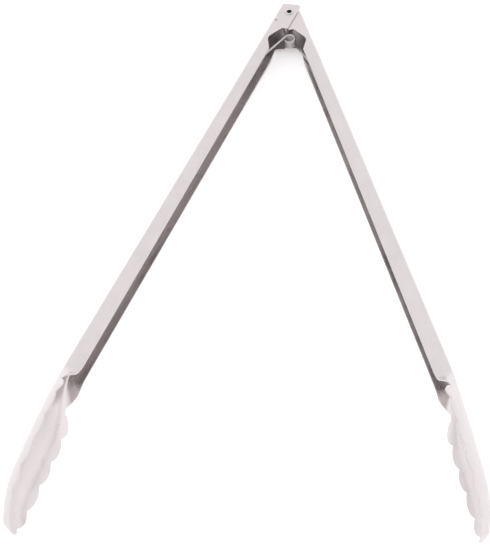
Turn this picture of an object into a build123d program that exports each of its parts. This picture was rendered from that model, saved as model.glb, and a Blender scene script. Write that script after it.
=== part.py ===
from build123d import *
import os
from math import acos, atan2, cos, degrees, hypot, pi, radians, sin

# Spring loaded kitchen tongs, millimetres. +Z is the pivot axis, and the tongs lie on their side with the arms
# spread in the XY plane. The origin is on the pivot axis, halfway through the hinge. The arms run towards -Y
# and +X is to the right. An arm is first drawn straight down -Y and then swung out to its open angle.
# "Along" is the distance from the pivot down an arm, and "inward" is measured from the pivot's line
# across the arm towards the other arm, so the outside face of the web has a negative inward value.

# ---- driving dimensions -------------------------------------------------------------------------
OPEN_HALF_ANGLE = 19.75      # each arm from the centre line, open and resting on its stop
CLOSED_HALF_ANGLE = 1.75     # each arm from the centre line, with the tips together

SHEET = 0.9                  # stainless sheet
WEB_WIDTH = 12.5             # outside width of the channel, across the flanges
WEB_FACE = -7.0              # outside face of the web, inward from the pivot's line
BEND_RADIUS = 2.4            # outside radius of the channel's bends
NEST_STEP = 1.0              # how far each ear of the inner arm steps in, sheet plus clearance
NEST_END = 21.5              # along: below this the inner arm widens again
NEST_RAMP = 14.0

# places on the edges are (along, inward)
EAR_TOP = ((-5.2, -7.0), (-7.6, 4.4))            # the straight end of the ears, from the web to the free edge
EAR_EDGE = 4.4               # inward: free edge of the ears
STOP_RADIUS = 5.0            # the inner ear's cut corner, which meets the inside of the other web at full opening
NEAR_CUTOUT = ((12.8, 4.4), (13.1, 1.5), (22.6, -3.7))      # on the +Z side, where the cutout is deep
FAR_CUTOUT = ((18.3, 4.4), (20.8, -0.7))                    # on the -Z side, whose ear is longer
FLANGE_START = (31.0, 0.8)
FLANGE_END = (301.5, 3.8)
NECK = (309.5, -1.0)             # the dip between the flange and the head
RIM_START = (312.6, 1.2)
NECK_STEP = 0.9                  # the rim's first lobe starts this far above the neck
VALLEYS = ((325.3, 3.0), (342.6, 4.7), (359.9, 6.0), (379.5, 7.5), (395.6, 9.2))
TIP = (406.2, 11.1)              # where the front lobe meets the tip
FIRST_LOBE, LOBE, FRONT_LOBE = 2.3, 1.8, 1.5     # how far the lobes stand above their chords

HEAD_START = 292.0           # along: where the channel starts to flare into the head
FLARE_LENGTH = 37.3
HEAD_HALF_WIDTH = 27.1       # of the whole shell; the rim is cut lower down, where it is narrower
HEAD_CORNER = 25.8           # radius across the dish
CORNER_SHARE = 0.95          # the most of the half width that the radius takes near the tip
TIP_START = 382.0            # along: where the head starts to narrow to its rounded end
TIP_LENGTH = 23.5
TIP_ROUNDNESS = 2.4          # 2 is an ellipse, and more is blunter
CURL_LENGTH = 98.0           # the back of the head leans inward from where the head starts
CURL_RISE = 8.0
CURL_POWER = 1.35
NOSE_START = 373.0           # along: where the back turns up more sharply to the tip
NOSE_LENGTH = 35.0
NOSE_RISE = 6.0
NOSE_POWER = 2.2
OPEN_SIDE = 34.0             # inward: above every rim, where the uncut shell ends
CHANNEL_TOP = -11.0          # along: above the ears, where the uncut shell starts
BEHIND_WEB = WEB_FACE - 1.0  # inward: just outside the web, where the trimming block ends

# corners of the trimmed edges and their radii
NEAR_ROUNDS = ((NEAR_CUTOUT[1], 0.8), (NEAR_CUTOUT[2], 4.5), (FLANGE_START, 0.5), (FLANGE_END, 3.0), (NECK, 2.2))
FAR_ROUNDS = ((FAR_CUTOUT[0], 0.9), (FAR_CUTOUT[1], 2.0), (FLANGE_END, 3.0), (NECK, 2.2))
EAR_ROUNDING = 1.8           # at the top of the outer ears

PIVOT_HOLE_RADIUS = 1.85
RIVET_RADIUS = 1.8
RIVET_BORE_RADIUS = 1.3
RIVET_FLANGE_RADIUS = 2.5
RIVET_FLANGE_THICKNESS = 0.55
RIVET_END_GAP = 0.05         # between the rivet's flanges and the outer ears
RIVET_ROUNDING = 0.35        # on the rims of its flanges

DIMPLE_HOLE = (8.6, -4.6)    # along, inward: small tooling hole near the bend of one ear
DIMPLE_HOLE_RADIUS = 0.55

WIRE = 1.3                   # spring wire diameter
COIL_RADIUS = 2.7            # to the middle of the wire
COIL_CENTRE = (1.2, -18.2)   # X, Y
COIL_TURNS = 4
COIL_PITCH = 1.36
LEG_ALONG = 46.0             # along: where each leg reaches its web
LEG_HOLE_RADIUS = 0.95
LEG_BEND_RADIUS = 1.3        # at the bend into the hole, to the middle of the wire
LEG_END_DEPTH = 0.1          # how far the wire's end lies inside the outside face of the web


# ---- the arm's shape as functions of the distance along it ----------------------------------------
def smooth(value):
    """0 to 1 with level ends."""
    value = min(max(value, 0.0), 1.0)
    return (1 - cos(pi * value)) / 2


def flare(along):
    return smooth((along - HEAD_START) / FLARE_LENGTH)


def half_width(along, inset=0.0):
    """Half the outside width of the head, or of a skin lying inset inside it."""
    width = WEB_WIDTH / 2 + (HEAD_HALF_WIDTH - WEB_WIDTH / 2) * flare(along)
    if along > TIP_START:
        share = (along - TIP_START) / (TIP_LENGTH - inset)
        return (width - inset) * max(0.0, 1 - share ** TIP_ROUNDNESS) ** (1 / TIP_ROUNDNESS)
    return width - inset


def back(along, inset=0.0):
    """The outside face of the web, or of a skin lying inset inside it."""
    curl = max(0.0, (along - HEAD_START) / CURL_LENGTH)
    nose = max(0.0, (along - NOSE_START) / NOSE_LENGTH)
    rise = CURL_RISE * curl ** CURL_POWER + NOSE_RISE * nose ** NOSE_POWER
    slope = CURL_RISE * CURL_POWER * curl ** (CURL_POWER - 1) / CURL_LENGTH
    slope += NOSE_RISE * NOSE_POWER * nose ** (NOSE_POWER - 1) / NOSE_LENGTH
    return WEB_FACE + rise + inset * hypot(1, slope)


def corner(along, inset=0.0):
    wanted = BEND_RADIUS + (HEAD_CORNER - BEND_RADIUS) * flare(along)
    return min(wanted - inset, CORNER_SHARE * half_width(along, inset))


def section(along, half, face, radius):
    """A face across the arm: the web with two rounded corners, closed on the open side."""
    plane = Plane(origin=(0, -along, 0), x_dir=(1, 0, 0), z_dir=(0, -1, 0))
    short = radius * (1 - sin(pi / 4))
    edges = [
        Line((OPEN_SIDE, -half), (face + radius, -half)),
        ThreePointArc((face + radius, -half), (face + short, -half + short), (face, -half + radius)),
        Line((face, -half + radius), (face, half - radius)),
        ThreePointArc((face, half - radius), (face + short, half - short), (face + radius, half)),
        Line((face + radius, half), (OPEN_SIDE, half)),
        Line((OPEN_SIDE, half), (OPEN_SIDE, -half)),
    ]
    return plane * make_face(Curve() + edges)


def channel(nest, inset):
    """The straight channel with its ears, which are narrower by nest on each side."""
    half = WEB_WIDTH / 2 - inset
    radius = BEND_RADIUS - inset
    face = WEB_FACE + inset
    steps = [(CHANNEL_TOP, nest), (NEST_END, nest), (NEST_END + NEST_RAMP, 0.0), (HEAD_START, 0.0)]
    pieces = [
        loft([section(first, half - one, face, radius), section(last, half - two, face, radius)], ruled=True)
        for (first, one), (last, two) in zip(steps, steps[1:])
    ]
    return pieces[0] + pieces[1] + pieces[2]


def head(inset):
    """The dished head, with its sections closer together where it flares and at the tip."""
    flaring = [HEAD_START + FLARE_LENGTH * share for share in (0, 0.12, 0.27, 0.42, 0.58, 0.75, 0.9, 1.05)]
    middle = [342.0, 356.0, 369.0, TIP_START]
    turns = [radians(angle) for angle in (18, 34, 48, 60, 70, 78, 84.5)]
    end = [TIP_START + (TIP_LENGTH - inset) * sin(turn) for turn in turns]
    faces = []
    for along in flaring + middle + end:
        faces.append(section(along, half_width(along, inset), back(along, inset), corner(along, inset)))
    return loft(faces)


def lobe(start, end, rise):
    """An arc that stands out from the chord between two points of the rim."""
    (x0, y0), (x1, y1) = start, end
    length = hypot(x1 - x0, y1 - y0)
    middle = ((x0 + x1) / 2 - rise * (y1 - y0) / length, (y0 + y1) / 2 + rise * (x1 - x0) / length)
    return ThreePointArc(start, middle, end)


def at(point):
    """An (along, inward) pair in the plane of the drawing."""
    along, inward = point
    return (inward, -along)


def ear_end(inward):
    """Where the straight end of the ears lies, along."""
    (start, low), (stop, high) = EAR_TOP
    return start + (stop - start) * (inward - low) / (high - low)


def ear_corners(inner):
    """The end of the ear, from behind the web to its free edge."""
    start = (ear_end(BEHIND_WEB), BEHIND_WEB)
    if not inner:
        return [start, (ear_end(EAR_EDGE), EAR_EDGE)]
    # the corner is cut back along a line that lies flat on the other arm's web at full opening
    normal = radians(2 * OPEN_HALF_ANGLE)
    lean = ear_end(1) - ear_end(0)
    high = (STOP_RADIUS + ear_end(0) * sin(normal)) / (cos(normal) - lean * sin(normal))
    low = (EAR_EDGE * cos(normal) - STOP_RADIUS) / sin(normal)
    return [start, (ear_end(high), high), (low, EAR_EDGE)]


def side_view(inner, cutout, rounds):
    """An arm seen from the side as a filled shape: what is left after every free edge has been trimmed."""
    neck_top = (RIM_START[0], RIM_START[1] - NECK_STEP)
    behind_tip = (TIP[0], BEHIND_WEB)
    corners = [behind_tip, *ear_corners(inner), *cutout, FLANGE_START, FLANGE_END, NECK, neck_top, RIM_START]
    edges = [Line(at(one), at(two)) for one, two in zip(corners, corners[1:])]
    rim = [RIM_START, *VALLEYS, TIP]
    rises = [FIRST_LOBE] + [LOBE] * (len(VALLEYS) - 1) + [FRONT_LOBE]
    edges += [lobe(at(one), at(two), rise) for one, two, rise in zip(rim, rim[1:], rises)]
    edges.append(Line(at(TIP), at(behind_tip)))
    if not inner:
        rounds = rounds + (((ear_end(EAR_EDGE), EAR_EDGE), EAR_ROUNDING),)
    return round_corners(make_face(Curve() + edges), rounds)


def round_corners(face, rounds):
    for place, radius in rounds:
        x, y = at(place)
        nearest = face.vertices().sort_by_distance((x, y, 0))[0]
        face = fillet(nearest, radius)
    return face


def blank(inner):
    """A solid as wide as the head, trimmed to one side view above the middle and to the other below it."""
    near = extrude(side_view(inner, NEAR_CUTOUT, NEAR_ROUNDS), amount=HEAD_HALF_WIDTH + 2)
    far = extrude(side_view(inner, FAR_CUTOUT, FAR_ROUNDS), amount=-HEAD_HALF_WIDTH - 2)
    return near + far


def arm(inner):
    """One arm, pointing straight down -Y with its web on the -X side."""
    nest = NEST_STEP if inner else 0.0
    shell = (channel(nest, 0.0) + head(0.0)) - (channel(nest, SHEET) + head(SHEET))
    shell = shell & blank(inner)
    shell -= Cylinder(PIVOT_HOLE_RADIUS, 4 * WEB_WIDTH)
    side = -1 if inner else 1
    leg_hole = Cylinder(LEG_HOLE_RADIUS, 4, rotation=(0, 90, 0))
    shell -= Pos(WEB_FACE, -LEG_ALONG, side * COIL_HEIGHT / 2) * leg_hole
    along, inward = DIMPLE_HOLE
    shell -= Pos(inward, -along, side * WEB_WIDTH / 2) * Cylinder(DIMPLE_HOLE_RADIUS, 3)
    return shell


def left_arm():
    return Rot(Z=-OPEN_HALF_ANGLE) * arm(inner=False)


def right_arm():
    return Rot(Z=OPEN_HALF_ANGLE) * mirror(arm(inner=True), about=Plane.YZ)


def pivot_rivet():
    """A tubular rivet with a flange rolled over each outer ear."""
    half = WEB_WIDTH / 2 + RIVET_END_GAP
    barrel = Cylinder(RIVET_RADIUS, 2 * (half + RIVET_FLANGE_THICKNESS))
    flange = Cylinder(RIVET_FLANGE_RADIUS, RIVET_FLANGE_THICKNESS)
    place = half + RIVET_FLANGE_THICKNESS / 2
    rivet = barrel + Pos(0, 0, place) * flange + Pos(0, 0, -place) * flange
    rivet -= Cylinder(RIVET_BORE_RADIUS, 4 * WEB_WIDTH)
    outer = rivet.edges().filter_by(GeomType.CIRCLE).group_by(Axis.Z)
    rims = [edge for edge in outer[0] + outer[-1] if edge.radius > RIVET_RADIUS]
    return fillet(rims, RIVET_ROUNDING)


# ---- the spring, which follows from where its legs reach the webs ---------------------------------
def swung(inward, along, side):
    """A point of an open arm in the XY plane. Side is -1 on the left and 1 on the right."""
    angle = radians(OPEN_HALF_ANGLE)
    x = -inward * cos(angle) + along * sin(angle)
    y = -inward * sin(angle) - along * cos(angle)
    return side * x, y


def leg_start_angle(side):
    """Where a leg leaves the coil as a tangent, in degrees about the coil's centre."""
    knee_x, knee_y = swung(WEB_FACE + SHEET + WIRE, LEG_ALONG, side)
    reach_x, reach_y = knee_x - COIL_CENTRE[0], knee_y - COIL_CENTRE[1]
    offset = acos(COIL_RADIUS / hypot(reach_x, reach_y))
    return degrees(atan2(reach_y, reach_x) + side * offset) % 360


COIL_SWEEP = 360 * COIL_TURNS + leg_start_angle(-1) - leg_start_angle(1)
COIL_HEIGHT = COIL_PITCH * COIL_SWEEP / 360      # between the middles of the first and last turns


def spring_leg(side):
    """From the coil to the web, then out through the web's hole."""
    angle = radians(leg_start_angle(side))
    height = -side * COIL_HEIGHT / 2
    start = (COIL_CENTRE[0] + COIL_RADIUS * cos(angle), COIL_CENTRE[1] + COIL_RADIUS * sin(angle), height)
    knee = (*swung(WEB_FACE + SHEET + WIRE, LEG_ALONG, side), height)
    end = (*swung(WEB_FACE + LEG_END_DEPTH, LEG_ALONG, side), height)
    path = FilletPolyline(start, knee, end, radius=LEG_BEND_RADIUS)
    profile = Plane(origin=start, z_dir=path % 0) * Circle(WIRE / 2)
    return sweep(profile, path=path) + Pos(*start) * Sphere(WIRE / 2)


def torsion_spring():
    """Close turns about an axis along Z, with a leg to each arm."""
    path = Helix(pitch=COIL_PITCH, height=COIL_HEIGHT, radius=COIL_RADIUS)
    profile = Plane(origin=path @ 0, z_dir=path % 0) * Circle(WIRE / 2)
    coil = sweep(profile, path=path)
    place = Pos(COIL_CENTRE[0], COIL_CENTRE[1], -COIL_HEIGHT / 2) * Rot(Z=leg_start_angle(1))
    return place * coil + spring_leg(-1) + spring_leg(1)


PARTS = {
    "left_arm": left_arm,
    "right_arm": right_arm,
    "pivot_rivet": pivot_rivet,
    "torsion_spring": torsion_spring,
}

if __name__ == "__main__":
    os.makedirs("parts", exist_ok=True)
    for name, make in PARTS.items():
        shape = make()
        solids = shape.solids()
        box = shape.bounding_box()
        low = [round(value, 2) for value in box.min]
        high = [round(value, 2) for value in box.max]
        print(name, len(solids), "solid", round(shape.volume), "mm3", low, high)
        export_step(shape, f"parts/{name}.step")
    print("spring leg height", round(COIL_HEIGHT / 2, 3), "travel per arm", OPEN_HALF_ANGLE - CLOSED_HALF_ANGLE)
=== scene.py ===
"""The looks of the spring loaded kitchen tongs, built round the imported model.

Sizes are millimetres until a mesh is handed to Blender. As in the model, an arm is drawn straight down -Y
with its web on the -X side, and then swung out to its open angle. "Along" is the distance from the pivot
down an arm, and "inward" is measured from the pivot's line towards the other arm. "Reach" is along, except
that past the head's widest part it is an angle round the tip, scaled to a length, so that rows crowd towards
the end. "Travel" is the distance round a section of the sheet from the middle of the web, and it is positive
towards +Z.
"""
from math import acos, asin, atan2, ceil, copysign, cos, exp, hypot, log, pi, radians, sin, tan

import bmesh
import bpy
from mathutils import Matrix, Vector
from mathutils.geometry import delaunay_2d_cdt


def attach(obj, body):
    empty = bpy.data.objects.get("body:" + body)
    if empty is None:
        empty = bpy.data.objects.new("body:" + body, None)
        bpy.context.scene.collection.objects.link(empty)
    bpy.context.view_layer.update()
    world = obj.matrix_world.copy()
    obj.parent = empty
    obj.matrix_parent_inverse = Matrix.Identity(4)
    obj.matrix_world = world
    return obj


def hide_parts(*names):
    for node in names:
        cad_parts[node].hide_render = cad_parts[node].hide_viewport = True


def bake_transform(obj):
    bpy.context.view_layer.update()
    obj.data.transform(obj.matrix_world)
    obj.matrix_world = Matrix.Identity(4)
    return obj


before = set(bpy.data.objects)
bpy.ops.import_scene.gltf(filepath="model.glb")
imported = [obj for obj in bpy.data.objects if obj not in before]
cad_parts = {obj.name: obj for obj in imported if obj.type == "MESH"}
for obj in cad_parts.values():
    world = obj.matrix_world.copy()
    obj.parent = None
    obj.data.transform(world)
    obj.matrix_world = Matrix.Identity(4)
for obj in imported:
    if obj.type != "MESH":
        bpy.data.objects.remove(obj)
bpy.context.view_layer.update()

MM = 0.001

# ---- sizes of the arms, which are those of the model --------------------------------------------
OPEN_HALF_ANGLE = 19.75
SHEET = 0.9
WEB_WIDTH = 12.5
WEB_FACE = -7.0
BEND_RADIUS = 2.4
NEST_STEP = 1.0
NEST_END = 21.5
NEST_RAMP = 14.0

EAR_TOP = ((-5.2, -7.0), (-7.6, 4.4))
EAR_EDGE = 4.4
EAR_ROUNDING = 1.8
STOP_RADIUS = 5.0
STOP_ROUNDING = 0.5
NEAR_CUTOUT = ((12.8, 4.4), (13.1, 1.5), (22.6, -3.7))
NEAR_ROUNDS = (0.4, 0.8, 4.5, 0.5)
FAR_CUTOUT = ((18.3, 4.4), (20.8, -0.7))
FAR_ROUNDS = (0.9, 2.0, 0.5)
FLANGE_START = (31.0, 0.8)
FLANGE_END = (301.5, 3.8)
NECK = (309.5, -1.0)
RIM_START = (312.6, 1.2)
NECK_STEP = 0.9
VALLEYS = ((325.3, 3.0), (342.6, 4.7), (359.9, 6.0), (379.5, 7.5), (395.6, 9.2))
TIP = (406.2, 11.1)
FIRST_LOBE, LOBE, FRONT_LOBE = 2.3, 1.8, 1.5

HEAD_START = 292.0
FLARE_LENGTH = 37.3
HEAD_HALF_WIDTH = 27.1
HEAD_CORNER = 25.8
CORNER_SHARE = 0.95
TIP_START = 382.0
TIP_LENGTH = 23.5
TIP_ROUNDNESS = 2.4
CURL_LENGTH = 98.0
CURL_RISE = 8.0
CURL_POWER = 1.35
NOSE_START = 373.0
NOSE_LENGTH = 35.0
NOSE_RISE = 6.0
NOSE_POWER = 2.2

PIVOT_HOLE_RADIUS = 1.85
DIMPLE_HOLE = (8.6, -4.6)
DIMPLE_HOLE_RADIUS = 0.55
LEG_ALONG = 46.0
LEG_HOLE_RADIUS = 0.95

EDGE_RADIUS = 0.2            # deburred edges of the sheet
NECK_SHARPNESS = 2.2         # of the rounded corners of the rim beside the neck
HINGE_END = 54.0             # along: the ears, the cutout and the holes are above this
TIP_REACH = TIP_START + TIP_LENGTH * pi / 2

# ---- how finely the meshes are divided ------------------------------------------------------------
OUTLINE_STEP = 0.9
CORNER_STEP = 12.0           # degrees
EDGE_STEPS = 3
HINGE_GRID_STEP = 2.1
PIVOT_HOLE_POINTS = 32
LEG_HOLE_POINTS = 20
DIMPLE_HOLE_POINTS = 16
COLUMNS = 17                 # from the middle of the web to the rim
WEB_COLUMNS = 4
BEND_COLUMNS = 7
CHANNEL_ROWS = 24
NECK_ROWS = 34
LOBE_ROWS = 14
TIP_ROWS = 26
NECK_MARGIN = 8.0            # the finer rows of the neck start this far above the head
RIM_MARGIN = 0.3             # the last row of the neck is this far above the rim's first lobe
EVEN_START, EVEN_LENGTH = 2.0, 18.0  # into the head: over which the columns become evenly spaced
TURN_POINTS = 40             # in each turn of the coil
WIRE_SIDES = 20
RIVET_SIDES = 64

# ---- sizes of the rivet and the spring ----------------------------------------------------------
RIVET_RADIUS = 1.8
RIVET_BORE_RADIUS = 1.3
RIVET_FLANGE_RADIUS = 2.5
RIVET_HALF_LENGTH = 6.85
RIVET_FLANGE_THICKNESS = 0.55
RIVET_ROLL = 1.0             # the bore starts to round over this far inside the ends' flanges
RIVET_LIP = 0.08
RIVET_PROFILE_STEPS = 8      # over each half of the rolled end
LIP_TURN = 82.0              # degrees

WIRE = 1.3
COIL_RADIUS = 2.7
COIL_CENTRE = (1.2, -18.2)
COIL_TURNS = 4
COIL_PITCH = 1.36
LEG_BEND_RADIUS = 1.3
LEG_END_DEPTH = 0.1

# ---- the camera ---------------------------------------------------------------------------------
AIM = (-12.51, -199.47, 0.0)
AZIMUTH, ELEVATION, ROLL = 6.86, 46.75, 4.17
DISTANCE = 3356.9
LENS = 401.15
SENSOR = 36.0

# ---- colours, floor and light ---------------------------------------------------------------------
SHEET_COLOUR, SHEET_ROUGHNESS = (0.63, 0.592, 0.592), 0.3
RIVET_COLOUR, RIVET_ROUGHNESS = (0.6, 0.575, 0.575), 0.25
WIRE_COLOUR, WIRE_ROUGHNESS = (0.5, 0.475, 0.47), 0.3
SHEET_GRAIN = (1.0, 0.02, 1.0)       # drawn out along the arm
RIVET_GRAIN = (1.0, 1.0, 0.2)        # drawn out along the barrel
WIRE_GRAIN = (1.0, 1.0, 1.0)
GRAIN_DEPTH = 0.00002        # metres

FLOOR_HALF_SIZE = 6.0        # metres
FLOOR_GAP = 0.05
FLOOR_WHITE = 0.93
FLOOR_GLOW = 0.22            # lifts the shadows on the pale floor
WORLD_COLOUR, WORLD_STRENGTH = (1.0, 0.985, 0.99), 1.22


# ---- the shape of an arm ------------------------------------------------------------------------
def smooth(value):
    """0 to 1 with level ends."""
    value = min(max(value, 0.0), 1.0)
    return (1 - cos(pi * value)) / 2


def mix(low, high, share):
    return low + (high - low) * share


def along_at(reach):
    if reach < TIP_START:
        return reach
    return TIP_START + TIP_LENGTH * sin((reach - TIP_START) / TIP_LENGTH)


def section(reach, nest):
    """Half width, corner radius and back face of the arm. Nest is how far its ears step in."""
    along = along_at(reach)
    share = min(max(0.0, (along - TIP_START) / TIP_LENGTH), 1.0)
    closing = (1 - share ** TIP_ROUNDNESS) ** (1 / TIP_ROUNDNESS)
    flare = smooth((along - HEAD_START) / FLARE_LENGTH)
    nesting = nest * min(max((NEST_END + NEST_RAMP - along) / NEST_RAMP, 0.0), 1.0)
    half = mix(WEB_WIDTH / 2, HEAD_HALF_WIDTH, flare) * closing - nesting
    radius = min(mix(BEND_RADIUS, HEAD_CORNER, flare), CORNER_SHARE * abs(half))
    curl = max(0.0, (along - HEAD_START) / CURL_LENGTH)
    nose = max(0.0, (along - NOSE_START) / NOSE_LENGTH)
    face = WEB_FACE + CURL_RISE * curl ** CURL_POWER + NOSE_RISE * nose ** NOSE_POWER
    return half, radius, face


def outside(reach, travel, nest):
    """A point on the outside of the sheet."""
    half, radius, face = section(reach, nest)
    distance = abs(travel)
    flat = half - radius
    quarter = radius * pi / 2
    if distance <= flat:
        inward, height = face, distance
    elif distance < flat + quarter:
        angle = (distance - flat) / radius
        inward, height = face + radius * (1 - cos(angle)), flat + radius * sin(angle)
    else:
        inward, height = face + radius + distance - flat - quarter, half
    return Vector((inward, -along_at(reach), copysign(height, travel)))


def travel_to(reach, inward, nest):
    """The travel from the middle of the web to a given inward place on a side of the section."""
    half, radius, face = section(reach, nest)
    rise = inward - face
    if rise < radius:
        return half - radius + radius * acos(1 - rise / radius)
    return half - radius + radius * pi / 2 + rise - radius


def outward(reach, travel, nest):
    """The direction square to the sheet, away from the inside of the arm."""
    if reach > TIP_REACH - 0.01:
        return Vector((0, -1, 0))
    step = 0.02
    down = outside(reach + step / 2, travel, nest) - outside(reach - step / 2, travel, nest)
    across = outside(reach, travel + step / 2, nest) - outside(reach, travel - step / 2, nest)
    return down.cross(across).normalized()


def line_at(start, end, along):
    return mix(start[1], end[1], (along - start[0]) / (end[0] - start[0]))


def rim(along):
    """Inward place of the free edge, from the flange to the tip."""
    if along < RIM_START[0] - 0.2:
        sharp = NECK_SHARPNESS
        neck_top = (RIM_START[0], RIM_START[1] - NECK_STEP)
        flange = line_at(FLANGE_START, FLANGE_END, along)
        fall = line_at(FLANGE_END, NECK, along)
        rise = line_at(NECK, neck_top, along)
        upper = -log(exp(-sharp * flange) + exp(-sharp * fall)) / sharp
        return log(exp(sharp * upper) + exp(sharp * rise)) / sharp
    ends = [RIM_START, *VALLEYS, TIP]
    rises = [FIRST_LOBE] + [LOBE] * (len(VALLEYS) - 1) + [FRONT_LOBE]
    for start, end, height in zip(ends, ends[1:], rises):
        if along <= end[0]:
            share = max(0.0, (along - start[0]) / (end[0] - start[0]))
            return mix(start[1], end[1], share) + 4 * height * share * (1 - share)
    return TIP[1]


# ---- outlines of the hinge end, as (travel, reach) pairs -------------------------------------------
def spaced(start, end):
    """Points from start up to but not including end."""
    count = max(1, ceil(hypot(end[0] - start[0], end[1] - start[1]) / OUTLINE_STEP))
    return [(mix(start[0], end[0], i / count), mix(start[1], end[1], i / count)) for i in range(count)]


def rounded(points, radii):
    """A chain of straight runs with its inner corners rounded. The ends stay as they are."""
    chain = [points[0]]
    for before, corner, after, radius in zip(points, points[1:], points[2:], radii):
        one = Vector((before[0] - corner[0], before[1] - corner[1])).normalized()
        two = Vector((after[0] - corner[0], after[1] - corner[1])).normalized()
        half_angle = one.angle(two) / 2
        middle = Vector(corner) + (one + two).normalized() * radius / sin(half_angle)
        start = Vector(corner) + one * radius / tan(half_angle) - middle
        end = Vector(corner) + two * radius / tan(half_angle) - middle
        sweep = start.angle_signed(end)
        count = max(2, ceil(abs(sweep) / radians(CORNER_STEP)))
        for i in range(count + 1):
            turned = Matrix.Rotation(-sweep * i / count, 2) @ start
            chain.append(tuple(middle + turned))
    chain.append(points[-1])
    dense = []
    for start, end in zip(chain, chain[1:]):
        dense += spaced(start, end)
    return dense + [chain[-1]]


def ear_end(inward):
    """Where the straight end of the ears lies, along."""
    (start, low), (stop, high) = EAR_TOP
    return mix(start, stop, (inward - low) / (high - low))


def ear_side(inner, cutout, rounds):
    """(along, inward) points from the flange at HINGE_END, round the cutout and the ear, to its back."""
    corners = [(HINGE_END, rim(HINGE_END)), FLANGE_START, *reversed(cutout)]
    radii = list(reversed(rounds))
    if inner:
        turned = radians(2 * OPEN_HALF_ANGLE)
        lean = ear_end(1) - ear_end(0)
        high = (STOP_RADIUS + ear_end(0) * sin(turned)) / (cos(turned) - lean * sin(turned))
        corners += [((EAR_EDGE * cos(turned) - STOP_RADIUS) / sin(turned), EAR_EDGE), (ear_end(high), high)]
        radii += [STOP_ROUNDING, STOP_ROUNDING]
    else:
        corners.append((ear_end(EAR_EDGE), EAR_EDGE))
        radii.append(EAR_ROUNDING)
    return rounded(corners + [EAR_TOP[0]], radii)


def hinge_outline(nest):
    """Round the hinge end as (travel, reach) pairs, from the -Z flange over the web to the +Z flange."""
    near, far = [[(travel_to(along, max(inward, WEB_FACE), nest), along) for along, inward in
                  ear_side(nest > 0, cutout, rounds)]
                 for cutout, rounds in ((NEAR_CUTOUT, NEAR_ROUNDS), (FAR_CUTOUT, FAR_ROUNDS))]
    top = spaced((-far[-1][0], far[-1][1]), near[-1])
    return [(-travel, along) for travel, along in far[:-1]] + top + near[::-1]


def circle(travel, reach, radius, count):
    """A clockwise loop, so that the sheet is on its left."""
    angles = [-2 * pi * i / count for i in range(count)]
    return [(travel + radius * cos(angle), reach + radius * sin(angle)) for angle in angles]


def holes(nest, side):
    """The pivot's hole in both ears, the tooling hole in one ear and the spring's hole in the web."""
    pivot = travel_to(0, 0, nest)
    along, inward = DIMPLE_HOLE
    return [
        circle(pivot, 0, PIVOT_HOLE_RADIUS, PIVOT_HOLE_POINTS),
        circle(-pivot, 0, PIVOT_HOLE_RADIUS, PIVOT_HOLE_POINTS),
        circle(side * travel_to(along, inward, nest), along, DIMPLE_HOLE_RADIUS, DIMPLE_HOLE_POINTS),
        circle(side * coil_height() / 2, LEG_ALONG, LEG_HOLE_RADIUS, LEG_HOLE_POINTS),
    ]


# ---- the sheet metal of an arm ---------------------------------------------------------------------
class Sheet:
    """Collects the vertices and faces of one arm."""

    def __init__(self, nest):
        self.nest = nest
        self.points = []
        self.places = []
        self.faces = []

    def add(self, point, place):
        self.points.append(point)
        self.places.append(place)
        return len(self.points) - 1

    def pair(self, travel, reach):
        """A vertex on the outside and the one behind it on the inside."""
        point = outside(reach, travel, self.nest)
        behind = point - outward(reach, travel, self.nest) * SHEET
        return self.add(point, (travel, reach)), self.add(behind, (travel, reach))

    def edge(self, loop):
        """The rounded edge of the sheet along a closed loop.

        Returns an outside and an inside vertex per point.
        """
        points = [outside(reach, travel, self.nest) for travel, reach in loop]
        count = len(loop)
        rings = []
        for i, (travel, reach) in enumerate(loop):
            normal = outward(reach, travel, self.nest)
            before = (points[i] - points[i - 1]).normalized().cross(normal)
            after = (points[(i + 1) % count] - points[i]).normalized().cross(normal)
            into = (before + after).normalized()
            into /= max(0.5, into.dot(before.normalized()))
            ring = []
            for inset, depth in edge_profile():
                ring.append(self.add(points[i] + into * inset - normal * depth, (travel, reach)))
            rings.append(ring)
        for ring, following in zip(rings, rings[1:] + rings[:1]):
            for j in range(len(ring) - 1):
                self.faces.append((ring[j], following[j], following[j + 1], ring[j + 1]))
        return [(ring[0], ring[-1]) for ring in rings]

    def fill(self, row, following):
        """Faces between two rows of vertex pairs, on the outside and on the inside."""
        for (one, one_in), (two, two_in), (three, three_in), (four, four_in) in zip(
                row, row[1:], following[1:], following):
            self.faces.append((one, two, three, four))
            self.faces.append((four_in, three_in, two_in, one_in))

    def mesh(self, name, turn, mirrored):
        mesh = bpy.data.meshes.new(name)
        mesh.from_pydata(self.points, [], self.faces)
        uv = mesh.uv_layers.new(name="grain")
        for loop in mesh.loops:
            travel, reach = self.places[loop.vertex_index]
            uv.data[loop.index].uv = (travel * MM, reach * MM)
        if mirrored:
            mesh.transform(Matrix.Scale(-1, 4, (1, 0, 0)))
        mesh.transform(Matrix.Scale(MM, 4) @ Matrix.Rotation(radians(turn), 4, "Z"))
        tidy(mesh)
        return mesh


def edge_profile():
    """(inset, depth) pairs from the outside skin, over the two rounded corners, to the inside skin."""
    angles = [pi * i / 2 / EDGE_STEPS for i in range(EDGE_STEPS + 1)]
    corner = [(EDGE_RADIUS * (1 - sin(angle)), EDGE_RADIUS * (1 - cos(angle))) for angle in angles]
    return corner + [(inset, SHEET - depth) for inset, depth in reversed(corner)]


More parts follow.
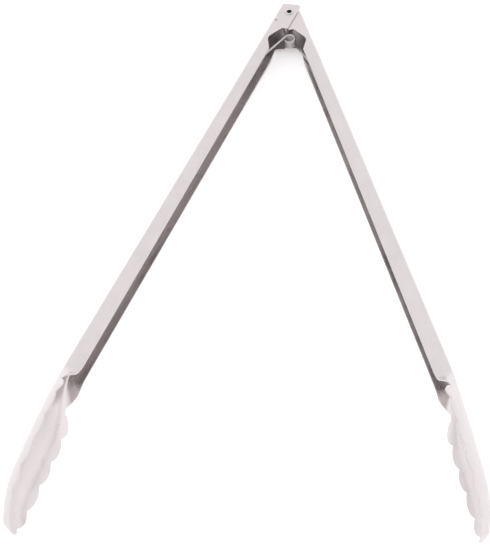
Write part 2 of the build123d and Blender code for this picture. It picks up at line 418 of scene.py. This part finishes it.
def tidy(mesh):
    """Joins doubled vertices, pairs flat triangles into quads and turns every face outwards."""
    bm = bmesh.new()
    bm.from_mesh(mesh)
    bmesh.ops.remove_doubles(bm, verts=bm.verts, dist=1e-6)
    bmesh.ops.dissolve_degenerate(bm, edges=bm.edges, dist=1e-6)
    triangles = [face for face in bm.faces if len(face.verts) == 3]
    bmesh.ops.join_triangles(bm, faces=triangles, angle_face_threshold=radians(6),
                             angle_shape_threshold=radians(60))
    bmesh.ops.recalc_face_normals(bm, faces=bm.faces)
    for face in bm.faces:
        face.smooth = True
    bm.to_mesh(mesh)
    bm.free()


def shares(reach):
    """Where the columns of the grid stand, as shares of the way from the middle of the web to the rim."""
    half, radius, _ = section(reach, 0.0)
    whole = travel_to(reach, rim(along_at(reach)), 0.0)
    flat = (half - radius) / whole
    bend_end = (half - radius + radius * pi / 2) / whole
    channel = [flat * i / WEB_COLUMNS for i in range(WEB_COLUMNS)]
    channel += [mix(flat, bend_end, i / BEND_COLUMNS) for i in range(BEND_COLUMNS)]
    rest = COLUMNS - WEB_COLUMNS - BEND_COLUMNS - 1
    channel += [mix(bend_end, 1, i / rest) for i in range(rest + 1)]
    even = [i / (COLUMNS - 1) for i in range(COLUMNS)]
    evening = smooth((reach - HEAD_START - EVEN_START) / EVEN_LENGTH)
    return [mix(one, two, evening) for one, two in zip(channel, even)]


def stations():
    """Reach of each row of the grid from the hinge end to the tip. Each valley of the rim has a row."""
    rows = [mix(HINGE_END, HEAD_START - NECK_MARGIN, i / CHANNEL_ROWS) for i in range(CHANNEL_ROWS)]
    last = RIM_START[0] - RIM_MARGIN
    rows += [mix(HEAD_START - NECK_MARGIN, last, i / NECK_ROWS) for i in range(NECK_ROWS + 1)]
    ends = [RIM_START[0], *(along for along, _ in VALLEYS)]
    for start, end in zip(ends, ends[1:]):
        rows += [mix(start, end, i / LOBE_ROWS) for i in range(LOBE_ROWS)]
    rows = [along if along < TIP_START else TIP_START + TIP_LENGTH * asin((along - TIP_START) / TIP_LENGTH)
            for along in rows]
    front = TIP_START + TIP_LENGTH * asin((VALLEYS[-1][0] - TIP_START) / TIP_LENGTH)
    return rows + [mix(front, TIP_REACH, i / TIP_ROWS) for i in range(TIP_ROWS + 1)]


def inside_loop(point, loop):
    """Whether a point lies inside a closed loop of the plane."""
    x, y = point
    hit = False
    for (x0, y0), (x1, y1) in zip(loop, loop[1:] + loop[:1]):
        if (y0 > y) != (y1 > y) and x < x0 + (y - y0) * (x1 - x0) / (y1 - y0):
            hit = not hit
    return hit


def shrunk(loop):
    """The loop moved into the sheet by the edge radius, in the plane of travel and reach."""
    moved = []
    count = len(loop)
    for i, (x, y) in enumerate(loop):
        before = Vector((x - loop[i - 1][0], y - loop[i - 1][1])).normalized()
        after = Vector((loop[(i + 1) % count][0] - x, loop[(i + 1) % count][1] - y)).normalized()
        left = Vector((-before.y - after.y, before.x + after.x)).normalized()
        left /= max(0.5, left.dot(Vector((-before.y, before.x))))
        moved.append((x + left.x * EDGE_RADIUS, y + left.y * EDGE_RADIUS))
    return moved


def hinge_end(sheet, outline, outline_pairs, hole_loops, hole_pairs, bottom, bottom_pairs):
    """Fills the ears and the top of the channel: a grid cut by the outline and the holes."""
    flat = []
    known = {}
    edges = []

    def chain(points, pairs, closed):
        first = len(flat)
        for point, pair in zip(points, pairs):
            known[len(flat)] = pair
            flat.append(Vector(point))
        edges.extend((i, i + 1) for i in range(first, len(flat) - 1))
        if closed:
            edges.append((len(flat) - 1, first))

    border = outline + bottom
    chain(border, outline_pairs + bottom_pairs, True)
    for loop, pairs in zip(hole_loops, hole_pairs):
        chain(loop, pairs, True)
    limit = max(abs(travel) for travel, _ in outline) + 1
    reach = EAR_TOP[1][0] + OUTLINE_STEP
    while reach < HINGE_END - 1:
        flat.extend((Vector((-limit, reach)), Vector((limit, reach))))
        edges.append((len(flat) - 2, len(flat) - 1))
        reach += HINGE_GRID_STEP
    for travel, _ in bottom:
        flat.extend((Vector((travel, EAR_TOP[1][0] - 1)), Vector((travel, HINGE_END))))
        edges.append((len(flat) - 2, len(flat) - 1))
    points, _, triangles, origins, _, _ = delaunay_2d_cdt(flat, edges, [], 0, 1e-5)
    pairs = []
    for point, origin in zip(points, origins):
        found = [known[index] for index in origin if index in known]
        pairs.append(found[0] if found else None)
    for triangle in triangles:
        middle = sum((points[index] for index in triangle), Vector((0, 0))) / 3
        if not inside_loop(middle, border) or any(inside_loop(middle, loop) for loop in hole_loops):
            continue
        for index in triangle:
            if pairs[index] is None:
                pairs[index] = sheet.pair(points[index].x, points[index].y)
        one, two, three = (pairs[index] for index in triangle)
        sheet.faces.append((one[0], two[0], three[0]))
        sheet.faces.append((three[1], two[1], one[1]))


def arm_mesh(name, side):
    """Side is -1 for the left arm and 1 for the right arm, whose ears nest inside the left arm's."""
    nest = NEST_STEP if side > 0 else 0.0
    sheet = Sheet(nest)
    rows = stations()
    rim_travels = [travel_to(reach, rim(along_at(reach)), nest) for reach in rows]
    down = list(zip(rim_travels, rows))
    up = [(-travel, reach) for travel, reach in reversed(down[:-1])]
    hinge = hinge_outline(nest)
    pairs = sheet.edge(down + up + hinge[1:-1])
    count = len(rows)
    right_pairs = pairs[:count]
    left_pairs = [right_pairs[-1]] + pairs[count:2 * count - 1]
    hinge_pairs = [pairs[2 * count - 2]] + pairs[2 * count - 1:] + [pairs[0]]
    grid = []
    for reach, travel, left, right in zip(rows, rim_travels, reversed(left_pairs), right_pairs):
        columns = [share * (travel - EDGE_RADIUS) for share in shares(reach)]
        row = [left] + [sheet.pair(-place, reach) for place in reversed(columns[1:-1])]
        row += [sheet.pair(place, reach) for place in columns[:-1]] + [right]
        grid.append(row)
    for row, following in zip(grid, grid[1:]):
        sheet.fill(row, following)
    side_of_holes = 1 if side < 0 else -1
    hole_loops = holes(nest, side_of_holes)
    hole_pairs = [sheet.edge(loop) for loop in hole_loops]
    places = [share * (rim_travels[0] - EDGE_RADIUS) for share in shares(rows[0])][:-1]
    bottom = [(place, HINGE_END) for place in reversed(places)]
    bottom += [(-place, HINGE_END) for place in places[1:]]
    bottom_pairs = grid[0][-2:0:-1]
    border = shrunk(hinge)
    border[0] = (EDGE_RADIUS - rim_travels[0], HINGE_END)
    border[-1] = (rim_travels[0] - EDGE_RADIUS, HINGE_END)
    cut_holes = [shrunk(loop) for loop in hole_loops]
    hinge_end(sheet, border, hinge_pairs, cut_holes, hole_pairs, bottom, bottom_pairs)
    return sheet.mesh(name, side * OPEN_HALF_ANGLE, side > 0)


# ---- the rivet and the spring ------------------------------------------------------------------------
def swung(inward, along, side):
    """A point of an open arm in the XY plane. Side is -1 on the left and 1 on the right."""
    angle = radians(OPEN_HALF_ANGLE)
    x = -inward * cos(angle) + along * sin(angle)
    y = -inward * sin(angle) - along * cos(angle)
    return side * x, y


def leg_start_angle(side):
    """Where a leg leaves the coil as a tangent, in radians about the coil's centre."""
    knee_x, knee_y = swung(WEB_FACE + SHEET + WIRE, LEG_ALONG, side)
    reach_x, reach_y = knee_x - COIL_CENTRE[0], knee_y - COIL_CENTRE[1]
    offset = acos(COIL_RADIUS / hypot(reach_x, reach_y))
    return (atan2(reach_y, reach_x) + side * offset) % (2 * pi)


def coil_sweep():
    return 2 * pi * COIL_TURNS + leg_start_angle(-1) - leg_start_angle(1)


def coil_height():
    return COIL_PITCH * coil_sweep() / (2 * pi)


def on_coil(share):
    angle = leg_start_angle(1) + coil_sweep() * share
    height = coil_height() * (share - 0.5)
    centre_x, centre_y = COIL_CENTRE
    return Vector((centre_x + COIL_RADIUS * cos(angle), centre_y + COIL_RADIUS * sin(angle), height))


def coil_path():
    steps = TURN_POINTS * (COIL_TURNS + 1)
    return [on_coil(i / steps) for i in range(steps + 1)]


def leg_path(side):
    """From the coil to the web, then round a bend and out through the web's hole."""
    start = on_coil(0 if side > 0 else 1)
    knee = Vector((*swung(WEB_FACE + SHEET + WIRE, LEG_ALONG, side), start.z))
    end = Vector((*swung(WEB_FACE + LEG_END_DEPTH, LEG_ALONG, side), start.z))
    flat = rounded([tuple(start.xy), tuple(knee.xy), tuple(end.xy)], [LEG_BEND_RADIUS])
    return [Vector((x, y, start.z)) for x, y in flat]


def tube(name, path, radius):
    """A round wire along a path, with rounded ends."""
    neighbours = zip([path[0]] + path, path[1:] + [path[-1]])
    directions = [(after - before).normalized() for before, after in neighbours]
    stops = [(path[0] - directions[0] * radius * sin(angle), radius * cos(angle), directions[0])
             for angle in (radians(85), radians(60), radians(30))]
    stops += [(point, radius, direction) for point, direction in zip(path, directions)]
    stops += [(path[-1] + directions[-1] * radius * sin(angle), radius * cos(angle), directions[-1])
              for angle in (radians(30), radians(60), radians(85))]
    bm = bmesh.new()
    rings = []
    side_way = directions[0].cross(Vector((0, 0, 1))).normalized()
    for centre, size, direction in stops:
        side_way = (side_way - direction * side_way.dot(direction)).normalized()
        other = direction.cross(side_way)
        ring = []
        for i in range(WIRE_SIDES):
            angle = 2 * pi * i / WIRE_SIDES
            ring.append(bm.verts.new((centre + (side_way * cos(angle) + other * sin(angle)) * size) * MM))
        rings.append(ring)
    for ring, following in zip(rings, rings[1:]):
        for i in range(WIRE_SIDES):
            bm.faces.new((ring[i - 1], ring[i], following[i], following[i - 1]))
    bm.faces.new(reversed(rings[0]))
    bm.faces.new(rings[-1])
    return finished(bm, name)


def finished(bm, name):
    bmesh.ops.recalc_face_normals(bm, faces=bm.faces)
    for face in bm.faces:
        face.smooth = True
    mesh = bpy.data.meshes.new(name)
    bm.to_mesh(mesh)
    bm.free()
    return mesh


def rivet_mesh():
    """A tube whose ends are rolled over the outer ears. The profile is turned about the pivot axis."""
    top = RIVET_HALF_LENGTH
    under = top - RIVET_FLANGE_THICKNESS
    steps = RIVET_PROFILE_STEPS
    crown = (RIVET_BORE_RADIUS + RIVET_FLANGE_RADIUS) / 2 - RIVET_LIP
    profile = [(RIVET_BORE_RADIUS, 0.0), (RIVET_BORE_RADIUS, under - RIVET_ROLL)]
    roll = [(crown + (RIVET_BORE_RADIUS - crown) * cos(angle), under + RIVET_FLANGE_THICKNESS * sin(angle))
            for angle in [radians(90) * i / steps for i in range(steps)]]
    lip = [(crown + (RIVET_FLANGE_RADIUS - crown) * sin(angle), under + RIVET_FLANGE_THICKNESS * cos(angle))
           for angle in [radians(LIP_TURN) * i / steps for i in range(steps + 1)]]
    profile += roll + lip
    profile += [(RIVET_FLANGE_RADIUS - RIVET_LIP, under), (RIVET_RADIUS, under), (RIVET_RADIUS, 0.0)]
    outline = profile + [(radius, -height) for radius, height in reversed(profile[1:-1])]
    bm = bmesh.new()
    rings = []
    for i in range(RIVET_SIDES):
        angle = 2 * pi * i / RIVET_SIDES
        rings.append([bm.verts.new(Vector((radius * cos(angle), radius * sin(angle), height)) * MM)
                      for radius, height in outline])
    for ring, following in zip(rings, rings[1:] + rings[:1]):
        for j in range(len(outline)):
            bm.faces.new((ring[j - 1], ring[j], following[j], following[j - 1]))
    return finished(bm, "rolled_rivet")


# ---- materials -----------------------------------------------------------------------------------------
def steel(name, colour, roughness, grain_stretch, coordinates="UV"):
    """Satin stainless: fine grain, which may be drawn out one way, and cloudy colour and roughness."""
    material = bpy.data.materials.new(name)
    material.use_nodes = True
    nodes, links = material.node_tree.nodes, material.node_tree.links
    shader = nodes["Principled BSDF"]
    shader.inputs["Metallic"].default_value = 1.0
    shader.inputs["Anisotropic"].default_value = 0.45
    source = nodes.new("ShaderNodeTexCoord")

    def noise(stretch, scale, detail):
        mapping = nodes.new("ShaderNodeMapping")
        mapping.inputs["Scale"].default_value = stretch
        links.new(source.outputs[coordinates], mapping.inputs["Vector"])
        texture = nodes.new("ShaderNodeTexNoise")
        texture.inputs["Scale"].default_value = scale
        texture.inputs["Detail"].default_value = detail
        links.new(mapping.outputs["Vector"], texture.inputs["Vector"])
        return texture.outputs["Fac"]

    def ramp(value, low, high):
        node = nodes.new("ShaderNodeMapRange")
        node.inputs["To Min"].default_value = low
        node.inputs["To Max"].default_value = high
        node.inputs["From Min"].default_value = 0.3
        node.inputs["From Max"].default_value = 0.7
        links.new(value, node.inputs["Value"])
        return node.outputs["Result"]

    grain = noise(grain_stretch, 1000.0, 6.0)
    clouds = noise((1.0, 1.0, 1.0), 60.0, 3.0)
    tint = nodes.new("ShaderNodeMix")
    tint.data_type = "RGBA"
    tint.inputs["A"].default_value = (*(channel * 0.93 for channel in colour), 1)
    tint.inputs["B"].default_value = (*colour, 1)
    links.new(ramp(clouds, 0.0, 1.0), tint.inputs["Factor"])
    links.new(tint.outputs["Result"], shader.inputs["Base Color"])
    rough = nodes.new("ShaderNodeMath")
    rough.operation = "ADD"
    links.new(ramp(grain, -0.05, 0.05), rough.inputs[0])
    links.new(ramp(clouds, roughness - 0.03, roughness + 0.04), rough.inputs[1])
    links.new(rough.outputs["Value"], shader.inputs["Roughness"])
    bump = nodes.new("ShaderNodeBump")
    bump.inputs["Strength"].default_value = 0.25
    bump.inputs["Distance"].default_value = GRAIN_DEPTH
    links.new(grain, bump.inputs["Height"])
    links.new(bump.outputs["Normal"], shader.inputs["Normal"])
    return material


def stage_material(name, value):
    material = bpy.data.materials.new(name)
    material.use_nodes = True
    shader = material.node_tree.nodes["Principled BSDF"]
    shader.inputs["Base Color"].default_value = (value, value, value, 1)
    shader.inputs["Roughness"].default_value = 1.0
    shader.inputs["Specular IOR Level"].default_value = 0.0
    shader.inputs["Emission Color"].default_value = (1, 1, 1, 1)
    shader.inputs["Emission Strength"].default_value = FLOOR_GLOW
    return material


# ---- pieces --------------------------------------------------------------------------------------------
def piece(name, mesh, material, slot, *nodes):
    thing = bpy.data.objects.new(name, mesh)
    bpy.context.scene.collection.objects.link(thing)
    mesh.materials.append(material)
    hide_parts(*nodes)
    return thing


def weigh_normals(thing):
    """Keeps the flat faces flat beside the rounded edges."""
    modifier = thing.modifiers.new("flat_faces", "WEIGHTED_NORMAL")
    modifier.keep_sharp = True


def build_object():
    arm_steel = steel("satin_sheet", SHEET_COLOUR, SHEET_ROUGHNESS, SHEET_GRAIN)
    rivet_steel = steel("rivet_steel", RIVET_COLOUR, RIVET_ROUGHNESS, RIVET_GRAIN, "Object")
    spring_steel = steel("spring_wire", WIRE_COLOUR, WIRE_ROUGHNESS, WIRE_GRAIN, "Object")
    for name, side in (("left_arm", -1), ("right_arm", 1)):
        arm = piece(f"{name}_sheet", arm_mesh(f"{name}_sheet", side), arm_steel, "arm_steel", name)
        weigh_normals(arm)
        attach(arm, name)
    rivet = piece("rolled_rivet", rivet_mesh(), rivet_steel, "rivet_steel", "pivot_rivet")
    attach(rivet, "pivot")
    coil = piece("spring_coil", tube("spring_coil", coil_path(), WIRE / 2), spring_steel, "spring_steel",
                 "torsion_spring")
    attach(coil, "pivot")
    for name, side in (("left", -1), ("right", 1)):
        path = leg_path(side)
        mesh = tube(f"spring_{name}_leg", path, WIRE / 2)
        leg = piece(f"spring_{name}_leg", mesh, spring_steel, "spring_steel", "torsion_spring")
        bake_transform(leg)


# ---- floor, light and camera -----------------------------------------------------------------------------
def floor_slope():
    """The floor passes under the rivet and tilts to pass clear of the whole width of the heads' shells."""
    rows = [reach for reach in stations() if reach > HEAD_START]
    lean = radians(OPEN_HALF_ANGLE)
    drops = [(section(reach, 0.0)[0] - RIVET_HALF_LENGTH) / (along_at(reach) * cos(lean)) for reach in rows]
    return max(drops)


def build_stage():
    slope = floor_slope()
    floor_mesh = bpy.data.meshes.new("floor")
    size = FLOOR_HALF_SIZE
    corners = [(-size, -size), (size, -size), (size, size), (-size, size)]
    level = -(RIVET_HALF_LENGTH + FLOOR_GAP) * MM
    floor_mesh.from_pydata([(x, y, level + y * slope) for x, y in corners], [], [(0, 1, 2, 3)])
    floor = bpy.data.objects.new("floor", floor_mesh)
    bpy.context.scene.collection.objects.link(floor)
    floor_mesh.materials.append(stage_material("floor_white", FLOOR_WHITE))


def area_light(name, place, size, power, colour=(1, 1, 1), target=(0, -0.2, 0)):
    light = bpy.data.lights.new(name, "AREA")
    light.shape = "RECTANGLE"
    light.size, light.size_y = size
    light.energy = power
    light.color = colour
    lamp = bpy.data.objects.new(name, light)
    lamp.location = place
    lamp.rotation_euler = (Vector(target) - Vector(place)).to_track_quat("-Z", "Y").to_euler()
    bpy.context.scene.collection.objects.link(lamp)


def build_light():
    world = bpy.data.worlds.new("studio")
    bpy.context.scene.world = world
    world.use_nodes = True
    background = world.node_tree.nodes["Background"]
    background.inputs["Color"].default_value = (*WORLD_COLOUR, 1)
    background.inputs["Strength"].default_value = WORLD_STRENGTH
    area_light("key", (-1.6, -0.6, 2.4), (3.0, 3.0), 7, (1.0, 0.96, 0.96))
    area_light("side", (2.4, -0.3, 1.6), (2.6, 2.6), 5, (0.98, 0.96, 1.0))
    bpy.context.scene.view_settings.view_transform = "Standard"


def build_camera():
    azimuth, elevation = radians(AZIMUTH), radians(ELEVATION)
    back = Vector((sin(azimuth) * cos(elevation), -cos(azimuth) * cos(elevation), sin(elevation)))
    right = Vector((cos(azimuth), sin(azimuth), 0))
    up = back.cross(right)
    axes = Matrix((right, up, back)).transposed()
    camera = bpy.data.cameras.new("camera")
    camera.lens = LENS
    camera.sensor_width = SENSOR
    camera.clip_end = 50
    thing = bpy.data.objects.new("camera", camera)
    bpy.context.scene.collection.objects.link(thing)
    turned = (Matrix.Rotation(radians(-ROLL), 3, back) @ axes).to_4x4()
    thing.matrix_world = Matrix.Translation((Vector(AIM) + back * DISTANCE) * MM) @ turned
    bpy.context.scene.camera = thing


build_object()
build_stage()
build_light()
build_camera()
bpy.context.view_layer.update()
